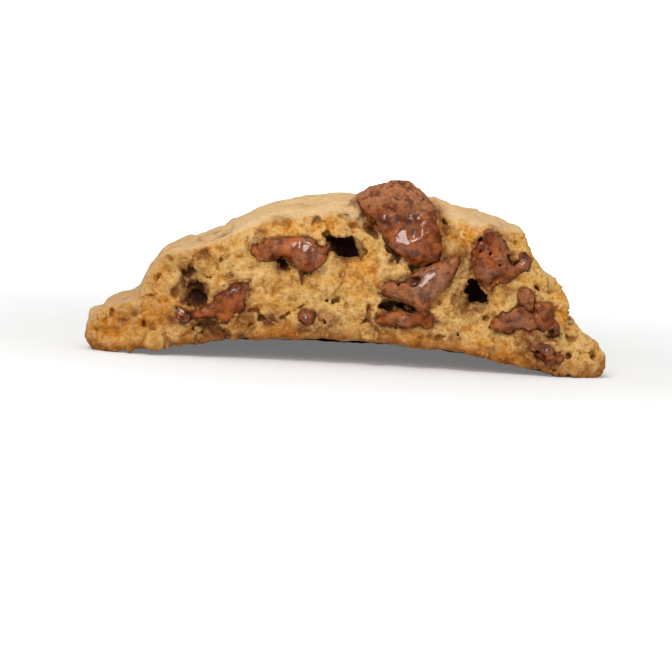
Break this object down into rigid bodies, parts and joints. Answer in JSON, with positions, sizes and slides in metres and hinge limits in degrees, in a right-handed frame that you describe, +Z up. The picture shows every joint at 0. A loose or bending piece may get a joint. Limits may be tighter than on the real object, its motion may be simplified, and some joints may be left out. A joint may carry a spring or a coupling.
{
  "type": "chocolate chip cookie half",
  "caption": "Half of a thick soft chocolate chip cookie with a torn crumbly face, melted chunks and a domed crust; it stands on the flat ring under its rim.",
  "frame": {"origin": "middle of the half's bounding box, on the surface that it stands on", "axes": "+X along the tear, +Y away from the torn face into the cookie, +Z up through the crust"},
  "size_m": [0.1084, 0.0608, 0.0393],
  "materials": {
    "baked_dough": "dry crumb and pale golden crust, matte, browned at the foot",
    "chocolate": "half-melted milk chocolate, wet gloss with dull patches"
  },
  "bodies": {
    "root": {"dough": "baked_dough", "chocolate_crown": "chocolate", "chocolate_stretched": "chocolate", "chocolate_low": "chocolate", "chocolate_upper_left": "chocolate", "chocolate_lower_left": "chocolate", "chocolate_curl": "chocolate", "chocolate_upper_right": "chocolate", "chocolate_lower_right": "chocolate", "chocolate_flake": "chocolate", "chocolate_side_right": "chocolate", "chocolate_foot_right": "chocolate", "chocolate_bead": "chocolate", "chocolate_crust_1": "chocolate", "chocolate_crust_2": "chocolate", "chocolate_crust_3": "chocolate", "chocolate_crust_4": "chocolate", "chocolate_crust_5": "chocolate"}
  },
  "joints": []
}
